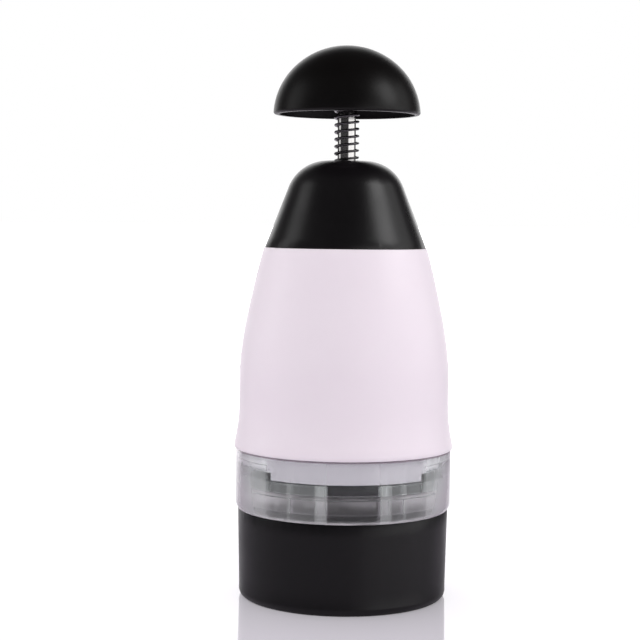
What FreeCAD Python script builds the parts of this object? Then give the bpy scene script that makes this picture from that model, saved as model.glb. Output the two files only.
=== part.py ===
import FreeCAD, Part
import math
import os
import re
import Sketcher

Vector = FreeCAD.Vector

# Plunger food chopper, millimetres, +Z up, origin at the bottom centre of the cup.
# The front is -Y. It is drawn at rest, with the knob at the top of its stroke.

# Sizes of the base cup
foot_inset = 1.6
cup_draft = 0.7
cup_low_height = 3.5
cup_edge_radius = 3.2
cup_rim_radius = 43.3
cup_height = 36.4
cup_wall = 2.4
cup_floor = 2.6
cup_inner_round = 3.0
foot_width = 3.0
foot_depth = 0.6

# Sizes of the clear chamber ring
ring_wall = 2.3
ring_height = 24.9
ring_step = 1.0
ring_step_height = 2.0
spigot_wall = 1.6
spigot_depth = 4.0
spigot_gap = 0.2
web_thickness = 3.6
ledge_thickness = 1.6
ledge_width = 2.6
rib_depth = 1.0
rib_width = 1.0
rib_angle = 31.0
rib_top_gap = 0.5
rib_bury = 0.92
rib_sets = 2
post_angle = 16.75
post_half_spread = 2.2
post_turn = 3.2
lip_top_gap = 0.8
lip_end_angle = 44.5
catch_start_angle = 46.5
catch_end_angle = 81.0
catch_drop = 6.0
catch_height = 2.2
catch_depth = 0.9

# Sizes of the scraper plate
plate_thickness = 3.9
plate_gap = 0.3
plate_edge_gap = 0.4
slot_gap = 0.6

# Sizes of the housing
flare_overhang = 0.6
flare_fall = 1.9
housing_belly_radius = 39.3
housing_wall = 2.4
flare_band = 1.7
flare_rise = 18.7
side_rise = 32.7
belly_rise = 57.7
flare_arc = 77.0
belly_arc = 169.8
top_arc = 352.0
skirt_gap = 0.3
skirt_wall = 2.0
skirt_deep = 9.6
skirt_short = 6.8
skirt_angle = 44.5
bead_gap = 0.05
bead_end_angle = 1.0
neck_height = 9.3
roof_thickness = 2.5

# Sizes of the top cap
shoulder_inset = 0.4
cap_neck_gap = 0.44
cap_height = 35.5
cap_slope_angle = 21.2
cap_round_radius = 16.7
cap_wall = 2.1
cap_top_wall = 2.4
well_spring_gap = 1.0
well_wall = 1.8
well_floor = 2.8
well_rod_gap = 0.55
screw_count = 3
boss_radius = 3.5
boss_bite = 1.0

# Sizes of the cap screws
screw_radius = 1.5
screw_head_radius = 3.0
screw_head_height = 1.8
screw_reach = 7.0
screw_gap = 0.05
screw_side_gap = 2.0

# Sizes of the guide tube and the two crowns
hub_radius = 12.5
hub_side_gap = 0.5
tube_wall = 2.0
flange_edge = 1.0
flange_gap = 0.4
flange_thickness = 2.5
crown_stem_gap = 0.8
crown_base = 2.9
tooth_height = 2.5
tooth_count = 8
tooth_fill = 0.866
tooth_bury = 0.3
tooth_gap = 0.3
upper_turn_gap = 2.5
lower_turn_gap = 1.0

# Sizes of the hub and the blade carrier
hub_thickness = 6.0
socket_depth = 2.5
stem_side_gap = 0.4
stem_wall = 1.4
carrier_inset = 3.0
carrier_thickness = 4.0
carrier_gap = 1.2
carrier_plate_gap = 1.0
blade_groove_depth = 3.0

# Sizes of the blade
blade_thickness = 0.5
blade_floor_gap = 1.1
blade_margin = 6.6
blade_legs = 6
blade_half_width = 27.0
blade_end_offset = 8.0
blade_bend_radius = 1.6
blade_bevel_height = 1.2
blade_edge_thickness = 0.1

# Sizes of the rod and what rides on it
stroke = 37.5
rod_radius = 3.85
rod_tail = 3.0
rod_chamfer = 0.6
running_gap = 0.08
clip_thickness = 0.8
clip_reach = 2.15
clip_bite = 0.55
clip_opening = 4.4
clip_gap = 0.05
clip_count = 2
washer_thickness = 0.5
washer_overlap = 0.2
washer_bore_gap = 0.15
thrust_gap = 0.1
bush_radius = 7.0
bush_length = 4.5
bush_flange_radius = 10.5
bush_flange_thickness = 0.6

# Sizes of the spring and its two seats
spring_wire = 1.0
spring_rod_gap = 0.35
spring_pitch = 2.93
seat_thickness = 0.6
seat_gap = 0.1
head_washer_thickness = 0.8
head_washer_inset = 0.1

# Sizes of the knob
knob_side_gap = 0.98
knob_rim_round = 1.0
knob_height = 28.0
knob_shoulder_inset = 9.58
knob_shoulder_height = 20.31
knob_side_arc = 28.3
knob_wall = 2.4
knob_corner_angle = 48.65
knob_boss_wall = 2.05
knob_boss_depth = 20.3
knob_down_gap = 1.5
insert_wall = 1.7
insert_length = 4.5

# How far a cut or a blank runs past what it shapes
cut_past = 1.0
blank_past = 10.0

sizes = {name: number for name, number in globals().items() if isinstance(number, (int, float))}

# The sheet holds each size above under its own name
doc = FreeCAD.newDocument("plunger_food_chopper")
sheet = doc.addObject("Spreadsheet::Sheet", "sizes")
for row, (name, number) in enumerate(sizes.items(), start=1):
    sheet.set("A%d" % row, name.replace("_", " "))
    sheet.set("B%d" % row, str(number))
    sheet.setAlias("B%d" % row, name)
doc.recompute()

# Radii of the cup, the ring and what turns inside them, from the cup's rim outwards
cup_low_radius = "(cup_rim_radius - cup_draft)"
cup_foot_radius = "(%s - foot_inset)" % cup_low_radius
ring_outer_radius = "(cup_rim_radius + ring_step)"
ring_bore = "(%s - ring_wall)" % ring_outer_radius
rib_face = "(%s - rib_depth)" % ring_bore
plate_radius = "(%s - plate_edge_gap)" % rib_face
skirt_radius = "(%s - skirt_gap)" % ring_bore
housing_flare_radius = "(%s + flare_overhang)" % ring_outer_radius
housing_radius = "(%s - flare_fall)" % housing_flare_radius
blade_reach = "(%s - blade_margin)" % plate_radius
carrier_radius = "(%s - carrier_inset)" % blade_reach

# Radii of the works, from the rod outwards
rod_bore = "(rod_radius + running_gap)"
groove_radius = "(rod_radius - clip_bite)"
insert_radius = "(rod_radius + insert_wall)"
clip_radius = "(rod_radius + clip_reach)"
washer_radius = "(%s + washer_overlap)" % clip_radius
stem_bore = "(%s + stem_side_gap)" % washer_radius
stem_radius = "(%s + stem_wall)" % stem_bore
crown_inner_radius = "(%s + crown_stem_gap)" % stem_radius
spring_mean_radius = "(rod_radius + spring_rod_gap + spring_wire / 2)"
well_radius = "(%s + spring_wire / 2 + well_spring_gap)" % spring_mean_radius
well_outer = "(%s + well_wall)" % well_radius
tube_bore = "(hub_radius + hub_side_gap)"
tube_radius = "(%s + tube_wall)" % tube_bore
screw_circle_radius = "(%s + screw_head_radius + screw_side_gap)" % tube_radius
flange_radius = "(%s + screw_head_radius + flange_edge)" % screw_circle_radius
neck_radius = "(%s + flange_gap + housing_wall)" % flange_radius

# The cap's cone clears the neck's top corner and stands on the housing's shoulder
inner_slant = "(cap_wall / cos(cap_slope_angle))"
cap_base_radius = "(%s + cap_neck_gap + neck_height * tan(cap_slope_angle) + %s)" % (
    neck_radius, inner_slant)
housing_top_radius = "(%s + shoulder_inset)" % cap_base_radius

# Heights of the cup, the ring and the scraper plate
ring_top = "(cup_height + ring_height)"
web_top = "(cup_height + web_thickness)"
skirt_bottom = "(%s - skirt_deep)" % ring_top
skirt_short_bottom = "(%s - skirt_short)" % ring_top
plate_top = "(%s - plate_gap)" % skirt_bottom
plate_bottom = "(%s - plate_thickness)" % plate_top
ledge_top = "(%s - plate_gap)" % plate_bottom
ledge_under = "(%s - ledge_thickness)" % ledge_top
catch_bottom = "(%s - catch_drop)" % ring_top

# Heights of the works, one stroke above the plate, and of the roof over them
carrier_bottom = "(%s + carrier_plate_gap + stroke)" % plate_top
carrier_top = "(%s + carrier_thickness)" % carrier_bottom
blade_top = "(%s + blade_groove_depth)" % carrier_bottom
blade_edge = "(cup_floor + stroke + blade_floor_gap)"
tube_bottom = "(%s + carrier_gap)" % carrier_top
lower_root = "(%s + crown_base)" % tube_bottom
hub_bottom = "(%s + tooth_height + tooth_gap + stroke)" % lower_root
hub_seat = "(%s + socket_depth)" % hub_bottom
hub_top = "(%s + hub_thickness)" % hub_bottom
upper_root = "(%s + tooth_gap + tooth_height)" % hub_top
roof_under = "(%s + crown_base)" % upper_root
roof_top = "(%s + roof_thickness)" % roof_under
shoulder = "(%s - neck_height)" % roof_top
bush_top = "(%s + bush_flange_thickness)" % roof_top
upper_washer_bottom = "(%s + thrust_gap)" % hub_top
upper_clip_bottom = "(%s + washer_thickness + thrust_gap)" % upper_washer_bottom
lower_washer_bottom = "(%s - thrust_gap - washer_thickness)" % hub_seat
lower_clip_bottom = "(%s - thrust_gap - clip_thickness)" % lower_washer_bottom

# Heights of the cap, the spring and the knob
well_floor_top = "(%s + well_floor)" % bush_top
spring_foot = "(%s + seat_thickness)" % well_floor_top
cap_top = "(%s + cap_height)" % shoulder
knob_boss_bottom = "(%s + stroke + knob_down_gap)" % cap_top
spring_head = "(%s - head_washer_thickness)" % knob_boss_bottom
knob_rim = "(%s - knob_boss_depth)" % knob_boss_bottom
insert_top = "(%s + insert_length)" % knob_boss_bottom

# The knob's rim clears the cap's cone where it ends up when the knob is down
knob_down_rise = "(cap_height + knob_down_gap - knob_boss_depth)"
knob_rim_radius = "(%s - %s * tan(cap_slope_angle) + knob_side_gap + knob_wall)" % (
    cap_base_radius, knob_down_rise)
knob_shoulder_radius = "(%s - knob_shoulder_inset)" % knob_rim_radius
knob_boss_radius = "(%s + knob_boss_wall)" % insert_radius
head_washer_radius = "(%s - head_washer_inset)" % knob_boss_radius

# Run of a tooth's ramp: most of the way to the next tooth at the crown's bore
tooth_run = "(tooth_fill * 2 * pi * %s / tooth_count)" % crown_inner_radius


def bound(text):
    """The expression with each size looked up in the sheet."""
    def look_up(match):
        word = match.group(0)
        return "sizes." + word if word in sizes else word
    return re.sub(r"[A-Za-z_][A-Za-z_0-9]*", look_up, text)


def value(text):
    """The present number of an expression."""
    return float(sheet.evalExpression(text))


def origin_plane(body, role):
    return [part for part in body.Origin.OriginFeatures if part.Role == role][0]


def new_body(name):
    body = doc.addObject("PartDesign::Body", name)
    body.Label = name
    return body


def arc_centre(start, end, radius, side):
    """Centre of the shorter arc between two points, on one side of the way."""
    middle = (start + end) * 0.5
    chord = end - start
    across = Vector(-chord.y, chord.x, 0).normalize()
    reach = math.sqrt(max(radius ** 2 - chord.Length ** 2 / 4.0, 0.0))
    return middle + across * (reach if side == "left" else -reach)


def new_sketch(body, name, role, loops, height=None):
    """A sketch of closed loops. Each corner is (x, y), or (x, y, radius, side)
    where an arc runs on to the next corner with its centre on that side."""
    sketch = body.newObject("Sketcher::SketchObject", name)
    sketch.AttachmentSupport = [(origin_plane(body, role), "")]
    sketch.MapMode = "FlatFace"
    if height is not None:
        sketch.setExpression(".AttachmentOffset.Base.z", bound(height))
    for loop in loops:
        first = sketch.GeometryCount
        corners = [Vector(value(corner[0]), value(corner[1]), 0) for corner in loop]
        ends = []
        for index, corner in enumerate(loop):
            start = corners[index]
            end = corners[(index + 1) % len(loop)]
            if len(corner) == 2:
                sketch.addGeometry(Part.LineSegment(start, end))
                ends.append((1, 2))
                continue
            radius = value(corner[2])
            centre = arc_centre(start, end, radius, corner[3])
            from_angle = math.atan2(start.y - centre.y, start.x - centre.x)
            to_angle = math.atan2(end.y - centre.y, end.x - centre.x)
            if corner[3] == "right":
                from_angle, to_angle = to_angle, from_angle
            if to_angle < from_angle:
                to_angle += 2 * math.pi
            circle = Part.Circle(centre, Vector(0, 0, 1), radius)
            sketch.addGeometry(Part.ArcOfCircle(circle, from_angle, to_angle))
            ends.append((1, 2) if corner[3] == "left" else (2, 1))
        for index, corner in enumerate(loop):
            here = first + index
            before = first + (index - 1) % len(loop)
            sketch.addConstraint(Sketcher.Constraint(
                "Coincident", before, ends[index - 1][1], here, ends[index][0]))
            for axis, text, kind in ((-2, corner[0], "DistanceX"), (-1, corner[1], "DistanceY")):
                if text == "0":
                    sketch.addConstraint(Sketcher.Constraint(
                        "PointOnObject", here, ends[index][0], axis))
                    continue
                tie = sketch.addConstraint(Sketcher.Constraint(
                    kind, -1, 1, here, ends[index][0], value(text)))
                sketch.setExpression("Constraints[%d]" % tie, bound(text))
            if len(corner) == 4:
                tie = sketch.addConstraint(Sketcher.Constraint("Radius", here, value(corner[2])))
                sketch.setExpression("Constraints[%d]" % tie, bound(corner[2]))
    return sketch


def circle_sketch(body, name, circles, height=None):
    """A level sketch of circles, each (x, y, radius)."""
    sketch = body.newObject("Sketcher::SketchObject", name)
    sketch.AttachmentSupport = [(origin_plane(body, "XY_Plane"), "")]
    sketch.MapMode = "FlatFace"
    if height is not None:
        sketch.setExpression(".AttachmentOffset.Base.z", bound(height))
    for x, y, radius in circles:
        centre = Vector(value(x), value(y), 0)
        made = sketch.addGeometry(Part.Circle(centre, Vector(0, 0, 1), value(radius)))
        for axis, text, kind in ((-2, x, "DistanceX"), (-1, y, "DistanceY")):
            if text == "0":
                sketch.addConstraint(Sketcher.Constraint("PointOnObject", made, 3, axis))
                continue
            tie = sketch.addConstraint(Sketcher.Constraint(kind, -1, 1, made, 3, value(text)))
            sketch.setExpression("Constraints[%d]" % tie, bound(text))
        tie = sketch.addConstraint(Sketcher.Constraint("Radius", made, value(radius)))
        sketch.setExpression("Constraints[%d]" % tie, bound(radius))
    return sketch


def turn(body, name, loop, cut=False):
    """A revolved profile of (radius, height) corners, added or cut away."""
    sketch = new_sketch(body, name + "_profile", "XZ_Plane", [loop])
    kind = "PartDesign::Groove" if cut else "PartDesign::Revolution"
    feature = body.newObject(kind, name)
    feature.Profile = sketch
    feature.ReferenceAxis = (sketch, ["V_Axis"])
    feature.Angle = 360.0
    return feature


def pad(body, name, sketch, length):
    feature = body.newObject("PartDesign::Pad", name)
    feature.Profile = sketch
    feature.setExpression("Length", bound(length))
    return feature


def pocket_up(body, name, sketch, length):
    """A pocket cut upwards from its sketch."""
    feature = body.newObject("PartDesign::Pocket", name)
    feature.Profile = sketch
    feature.Reversed = True
    feature.setExpression("Length", bound(length))
    return feature


def around(body, name, features, count):
    """Copies evenly round Z."""
    pattern = body.newObject("PartDesign::PolarPattern", name)
    pattern.Originals = features
    pattern.Axis = (origin_plane(body, "Z_Axis"), [""])
    pattern.Angle = 360.0
    pattern.setExpression("Occurrences", bound(count))
    body.Tip = pattern
    return pattern


def sector(inner, outer, from_angle, to_angle):
    """A level ring sector, its angles counted from the front (-Y) towards +X."""
    def point(radius, angle):
        return ("%s * sin(%s)" % (radius, angle), "-1 * %s * cos(%s)" % (radius, angle))
    return [
        point(inner, from_angle),
        point(outer, from_angle) + (outer, "left"),
        point(outer, to_angle),
        point(inner, to_angle) + (inner, "right"),
    ]


def bar_at(inner, outer, angle, width):
    """A ring sector of a given width, centred on an angle."""
    half = "(%s / 2 / %s * 180 / pi)" % (width, outer)
    return sector(inner, outer, "(%s - %s)" % (angle, half), "(%s + %s)" % (angle, half))


# Base cup: a straight-sided bowl, nearly upright, on a narrow foot ring
base_cup = new_body("base_cup")
turn(base_cup, "cup_shell", [
    ("0", "foot_depth"),
    (cup_foot_radius + " - foot_width", "foot_depth"),
    (cup_foot_radius + " - foot_width", "0"),
    (cup_foot_radius, "0", "cup_edge_radius", "left"),
    (cup_low_radius, "cup_low_height"),
    ("cup_rim_radius", "cup_height"),
    ("cup_rim_radius - cup_wall", "cup_height"),
    (cup_low_radius + " - cup_wall", "cup_floor + cup_inner_round", "cup_inner_round", "right"),
    (cup_low_radius + " - cup_wall - cup_inner_round", "cup_floor"),
    ("0", "cup_floor"),
])

# Chamber ring: clear wall, a web on the cup rim with a spigot inside it, and a
# ledge that carries the scraper plate
chamber_ring = new_body("chamber_ring")
spigot_radius = "(cup_rim_radius - cup_wall - spigot_gap)"
turn(chamber_ring, "ring_shell", [
    (spigot_radius + " - spigot_wall", "cup_height - spigot_depth"),
    (spigot_radius, "cup_height - spigot_depth"),
    (spigot_radius, "cup_height"),
    ("cup_rim_radius", "cup_height"),
    (ring_outer_radius, "cup_height + ring_step_height"),
    (ring_outer_radius, ring_top),
    (ring_bore, ring_top),
    (ring_bore, ledge_top),
    (ring_bore + " - ledge_width", ledge_top),
    (ring_bore + " - ledge_width", ledge_under),
    (ring_bore, ledge_under),
    (ring_bore, web_top),
    (spigot_radius + " - spigot_wall", web_top),
])

# Upright ribs and posts on the ring's inner wall, front and back
rib_root = "(%s + rib_bury)" % ring_bore
rib_loops = []
for side in ("", "-1 * "):
    rib_loops.append(bar_at(rib_face, rib_root, side + "rib_angle", "rib_width"))
post_loops = []
for side in (" + ", " - "):
    for sign in (" - ", " + "):
        angle = "(post_turn%s(post_angle%spost_half_spread))" % (side, sign)
        post_loops.append(bar_at(rib_face, rib_root, angle, "rib_width"))
rib_sketch = new_sketch(chamber_ring, "rib_plan", "XY_Plane", rib_loops, web_top)
ribs = pad(chamber_ring, "ribs", rib_sketch, "%s - rib_top_gap - %s" % (skirt_bottom, web_top))
post_sketch = new_sketch(chamber_ring, "post_plan", "XY_Plane", post_loops, web_top)
posts = pad(chamber_ring, "posts", post_sketch, "%s - lip_top_gap - %s" % (skirt_bottom, web_top))

# Curved lips that keep the scraper plate in the middle, from the outer posts outwards
lip_loops = [
    sector(rib_face, rib_root, "(post_turn + post_angle + post_half_spread)", "lip_end_angle"),
    sector(rib_face, rib_root, "(-1 * lip_end_angle)",
           "(post_turn - post_angle - post_half_spread)"),
]
lip_sketch = new_sketch(chamber_ring, "lip_plan", "XY_Plane", lip_loops, ledge_top)
lips = pad(chamber_ring, "lips", lip_sketch, "%s - lip_top_gap - %s" % (skirt_bottom, ledge_top))
around(chamber_ring, "ribs_front_and_back", [ribs, posts, lips], "rib_sets")

# Catch grooves for the housing's beads
catch_root = "(%s + catch_depth)" % ring_bore
catch_loops = [
    sector(rib_face, catch_root, "catch_start_angle", "catch_end_angle"),
    sector(rib_face, catch_root, "(-1 * catch_end_angle)", "(-1 * catch_start_angle)"),
]
catch_sketch = new_sketch(chamber_ring, "catch_plan", "XY_Plane", catch_loops, catch_bottom)
catches = pocket_up(chamber_ring, "catches", catch_sketch, "catch_height")
around(chamber_ring, "catches_front_and_back", [catches], "rib_sets")

# Housing: tapered shell with a flared foot on the ring, a skirt inside the ring
# and a neck with a roof that carries the works
housing_shell = new_body("housing_shell")
side_top = "(%s + side_rise)" % ring_top
belly_top = "(%s + belly_rise)" % ring_top
turn(housing_shell, "housing_wall_turned", [
    (skirt_radius + " - skirt_wall", skirt_short_bottom),
    (skirt_radius, skirt_short_bottom),
    (skirt_radius, ring_top),
    (housing_flare_radius, ring_top),
    (housing_flare_radius, ring_top + " + flare_band", "flare_arc", "right"),
    (housing_radius, ring_top + " + flare_rise"),
    (housing_radius, side_top, "belly_arc", "left"),
    ("housing_belly_radius", belly_top, "top_arc", "left"),
    (housing_top_radius, shoulder),
    (neck_radius, shoulder),
    (neck_radius, roof_top),
    ("bush_radius", roof_top),
    ("bush_radius", roof_under),
    (neck_radius + " - housing_wall", roof_under),
    (neck_radius + " - housing_wall", shoulder + " - housing_wall"),
    (housing_top_radius + " - housing_wall", shoulder + " - housing_wall", "top_arc", "right"),
    ("housing_belly_radius - housing_wall", belly_top, "belly_arc", "right"),
    (housing_radius + " - housing_wall", side_top),
    (housing_radius + " - housing_wall", ring_top + " + flare_rise"),
    (skirt_radius + " - skirt_wall", ring_top),
])
deep_sketch = new_sketch(housing_shell, "deep_skirt_plan", "XY_Plane", [
    sector("(%s - skirt_wall)" % skirt_radius, skirt_radius, "(-1 * skirt_angle)", "skirt_angle"),
], skirt_bottom)
deep_skirt = pad(housing_shell, "deep_skirt", deep_sketch,
                 "%s - %s" % (skirt_short_bottom, skirt_bottom))

# Snap beads on the skirt's sides, drawn pressed in just inside the ring's bore
bead_face = "(%s - bead_gap)" % ring_bore
bead_loops = []
for low, high in (("catch_start_angle", "catch_end_angle"),
                  ("(-1 * catch_end_angle)", "(-1 * catch_start_angle)")):
    bead_loops.append(sector("(%s - skirt_wall / 2)" % skirt_radius, bead_face,
                             "(%s + bead_end_angle)" % low, "(%s - bead_end_angle)" % high))
bead_sketch = new_sketch(housing_shell, "bead_plan", "XY_Plane", bead_loops,
                         catch_bottom + " + plate_gap")
beads = pad(housing_shell, "beads", bead_sketch, "catch_height - 2 * plate_gap")
around(housing_shell, "skirt_front_and_back", [deep_skirt, beads], "rib_sets")

# Top cap: cone with a rounded shoulder, a well for the spring and bosses for the screws
top_cap = new_body("top_cap")
touch_rise = "(cap_height - cap_round_radius * (1 - sin(cap_slope_angle)))"
touch_height = "(%s + %s)" % (shoulder, touch_rise)
touch_radius = "(%s - %s * tan(cap_slope_angle))" % (cap_base_radius, touch_rise)
flat_radius = "(%s - cap_round_radius * cos(cap_slope_angle))" % touch_radius
inner_touch_radius = "(%s - cap_wall * cos(cap_slope_angle))" % touch_radius
inner_touch_height = "(%s - cap_wall * sin(cap_slope_angle))" % touch_height
turn(top_cap, "cap_solid", [
    (well_radius, shoulder),
    (cap_base_radius, shoulder),
    (touch_radius, touch_height, "cap_round_radius", "left"),
    (flat_radius, cap_top),
    (well_radius, cap_top),
])
turn(top_cap, "cap_hollow", [
    (well_outer, shoulder + " - cut_past"),
    ("%s - %s + cut_past * tan(cap_slope_angle)" % (cap_base_radius, inner_slant),
     shoulder + " - cut_past"),
    (inner_touch_radius, inner_touch_height, "cap_round_radius - cap_wall", "left"),
    (well_outer + " + cut_past", cap_top + " - cap_top_wall"),
    (well_outer, cap_top + " - cap_top_wall"),
], cut=True)
turn(top_cap, "well_bottom_open", [
    (well_radius + " / 2", shoulder + " - cut_past"),
    (well_outer + " + cut_past", shoulder + " - cut_past"),
    (well_outer + " + cut_past", bush_top),
    (well_radius + " / 2", bush_top),
], cut=True)
turn(top_cap, "well_floor_ring", [
    ("rod_radius + well_rod_gap", bush_top),
    (well_outer, bush_top),
    (well_outer, well_floor_top),
    ("rod_radius + well_rod_gap", well_floor_top),
])

# The bosses rise from the roof until their outer sides are buried in the cone
boss_top = "(%s + (%s - %s - %s - boss_radius + boss_bite) / tan(cap_slope_angle))" % (
    shoulder, cap_base_radius, inner_slant, screw_circle_radius)
boss_sketch = circle_sketch(top_cap, "boss_plan", [
    ("0", screw_circle_radius, "boss_radius"),
    ("0", screw_circle_radius, "screw_radius + screw_gap"),
], roof_top)
boss = pad(top_cap, "boss", boss_sketch, "%s - %s" % (boss_top, roof_top))
around(top_cap, "bosses", [boss], "screw_count")

# Guide tube: it hangs from the roof by its flange and the hub runs inside it
guide_tube = new_body("guide_tube")
turn(guide_tube, "tube_turned", [
    (tube_bore, tube_bottom),
    (tube_radius, tube_bottom),
    (tube_radius, roof_under + " - flange_thickness"),
    (flange_radius, roof_under + " - flange_thickness"),
    (flange_radius, roof_under),
    (tube_bore, roof_under),
])


def holes(body, from_height, depth):
    """Clearance holes for the cap screws."""
    plan = circle_sketch(body, "screw_hole_plan", [
        ("0", screw_circle_radius, "screw_radius + screw_gap"),
    ], from_height)
    hole = pocket_up(body, "screw_hole", plan, depth)
    around(body, "screw_holes", [hole], "screw_count")


holes(guide_tube, roof_under + " - flange_thickness", "flange_thickness")
holes(housing_shell, roof_under, "roof_thickness")


def add_teeth(body, name, root_height, direction, way):
    """Sloping teeth round a ring: each has an upright radial face and a ramp.
    direction is 1 for teeth that point up, way is the side the ramp falls to."""
    run = tooth_run if way > 0 else "(-1 * %s)" % tooth_run
    tip = "(%s + tooth_height)" if direction > 0 else "(%s - tooth_height)"
    back = "(%s - tooth_bury)" if direction > 0 else "(%s + tooth_bury)"
    sketch = new_sketch(body, name + "_profile", "XZ_Plane", [[
        ("0", back % root_height),
        (run, back % root_height),
        (run, root_height),
        ("0", tip % root_height),
    ]])
    tooth = pad(body, name, sketch, "hub_radius + blank_past")
    around(body, name + "_round", [tooth], "tooth_count")


def trim_ring(body, outer):
    """Cuts everything inside the crown's bore and outside its rim."""
    reach = "hub_radius + 2 * blank_past"
    low = "(%s - blank_past)" % tube_bottom
    tall = "(%s - %s)" % (cap_top, low)
    inner = circle_sketch(body, "bore_plan", [("0", "0", crown_inner_radius)], low)
    pocket_up(body, "bore", inner, tall)
    rim = circle_sketch(body, "rim_plan", [("0", "0", reach), ("0", "0", outer)], low)
    pocket_up(body, "rim", rim, tall)


# Crowns: fixed rings of teeth at the top and the bottom of the guide tube
upper_crown = new_body("upper_crown")
turn(upper_crown, "crown_ring", [
    (crown_inner_radius + " / 2", upper_root),
    (tube_bore, upper_root),
    (tube_bore, roof_under),
    (crown_inner_radius + " / 2", roof_under),
])
add_teeth(upper_crown, "tooth", upper_root, -1, 1)
trim_ring(upper_crown, tube_bore)

lower_crown = new_body("lower_crown")
turn(lower_crown, "crown_ring", [
    (crown_inner_radius + " / 2", tube_bottom),
    (tube_bore, tube_bottom),
    (tube_bore, lower_root),
    (crown_inner_radius + " / 2", lower_root),
])
add_teeth(lower_crown, "tooth", lower_root, 1, 1)
trim_ring(lower_crown, tube_bore)

# Ratchet hub: it turns on the rod, with teeth towards both crowns
ratchet_hub = new_body("ratchet_hub")
turn(ratchet_hub, "hub_tooth_band", [
    (crown_inner_radius + " / 2", hub_bottom),
    ("hub_radius", hub_bottom),
    ("hub_radius", hub_top),
    (crown_inner_radius + " / 2", hub_top),
])
add_teeth(ratchet_hub, "upper_tooth", hub_top, 1, -1)
add_teeth(ratchet_hub, "lower_tooth", hub_bottom, -1, -1)
trim_ring(ratchet_hub, "hub_radius")
core_radius = "((%s + hub_radius) / 2)" % crown_inner_radius
turn(ratchet_hub, "hub_core", [
    (rod_bore, hub_seat),
    (stem_radius, hub_seat),
    (stem_radius, hub_bottom),
    (core_radius, hub_bottom),
    (core_radius, hub_top),
    (rod_bore, hub_top),
])

# Blade carrier: disc on a hollow stem that plugs into the hub
carrier_body = new_body("carrier_blank")
turn(carrier_body, "carrier_turned", [
    ("0", carrier_bottom),
    (carrier_radius, carrier_bottom),
    (carrier_radius, carrier_top),
    (stem_radius, carrier_top),
    (stem_radius, hub_seat),
    (stem_bore, hub_seat),
    (stem_bore, carrier_top),
    ("0", carrier_top),
])


def zigzag_wire(half_thickness, end_extra, height):
    """The outline of the folded strip: straight legs joined by round bends."""
    reach = value(blade_reach)
    half_width = value("blade_half_width")
    bend = value("blade_bend_radius")
    corners = [Vector(-half_width, value("blade_end_offset"), height)]
    for step in range(1, blade_legs):
        x = half_width * (2.0 * step / blade_legs - 1.0)
        y = math.sqrt(reach ** 2 - x ** 2)
        corners.append(Vector(x, -y if step % 2 else y, height))
    corners.append(Vector(half_width, value("blade_end_offset"), height))
    ways = [(corners[k + 1] - corners[k]).normalize() for k in range(blade_legs)]
    lefts = [Vector(-way.y, way.x, 0) for way in ways]

    def side_edges(offset):
        edges = []
        start = corners[0] - ways[0] * end_extra + lefts[0] * offset
        for k in range(1, blade_legs):
            swing = ways[k - 1].getAngle(ways[k])
            sign = 1.0 if ways[k - 1].cross(ways[k]).z > 0 else -1.0
            back = bend * math.tan(swing / 2.0)
            arrive = corners[k] - ways[k - 1] * back
            centre = arrive + lefts[k - 1] * bend * sign
            middle = centre + (corners[k] - centre).normalize() * (bend - sign * offset)
            leave = corners[k] + ways[k] * back + lefts[k] * offset
            edges.append(Part.makeLine(start, arrive + lefts[k - 1] * offset))
            edges.append(Part.Arc(arrive + lefts[k - 1] * offset, middle, leave).toShape())
            start = leave
        end = corners[-1] + ways[-1] * end_extra + lefts[-1] * offset
        edges.append(Part.makeLine(start, end))
        return edges, end

    left_edges, left_end = side_edges(half_thickness)
    right_edges, right_end = side_edges(-half_thickness)
    left_start = left_edges[0].valueAt(left_edges[0].FirstParameter)
    right_start = right_edges[0].valueAt(right_edges[0].FirstParameter)
    edges = left_edges + [Part.makeLine(left_end, right_end)]
    edges += right_edges + [Part.makeLine(left_start, right_start)]
    return Part.Wire(Part.__sortEdges__(edges))


def zigzag_solid(half_thickness, end_extra, low, high):
    face = Part.Face(zigzag_wire(half_thickness, end_extra, low))
    return face.extrude(Vector(0, 0, high - low))


def new_feature(name, shape):
    feature = doc.addObject("Part::Feature", name)
    feature.Label = name
    feature.Shape = shape
    return feature


# Blade: one strip of steel folded to and fro, sharpened along its lower edge
half_blade = value("blade_thickness") / 2.0
bevel_top = value(blade_edge + " + blade_bevel_height")
blade_bevel = Part.makeLoft([
    zigzag_wire(value("blade_edge_thickness") / 2.0, 0.0, value(blade_edge)),
    zigzag_wire(half_blade, 0.0, bevel_top),
], True, True)
blade_strip = zigzag_solid(half_blade, 0.0, bevel_top, value(blade_top))
zigzag_blade = new_feature("zigzag_blade", blade_strip.fuse(blade_bevel))

# The blade's top edge stands in a groove of its own shape under the disc
groove_tool = new_feature("blade_groove_tool", zigzag_solid(
    half_blade + value("clip_gap"), value("clip_gap"), value(carrier_bottom) - cut_past, value(blade_top)))
blade_carrier = doc.addObject("Part::Cut", "blade_carrier")
blade_carrier.Label = "blade_carrier"
blade_carrier.Base = carrier_body
blade_carrier.Tool = groove_tool

# Scraper plate: lies on the ring's ledge, with a slot that lets the blade through
plate_blank = doc.addObject("Part::Cylinder", "plate_blank")
plate_blank.setExpression("Radius", bound(plate_radius))
plate_blank.setExpression("Height", bound("plate_thickness"))
plate_blank.setExpression("Placement.Base.z", bound(plate_bottom))
slot_tool = new_feature("blade_slot_tool", zigzag_solid(
    half_blade + value("slot_gap"), value("slot_gap"), value(plate_bottom) - cut_past, value(plate_top) + cut_past))
scraper_plate = doc.addObject("Part::Cut", "scraper_plate")
scraper_plate.Label = "scraper_plate"
scraper_plate.Base = plate_blank
scraper_plate.Tool = slot_tool

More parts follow.
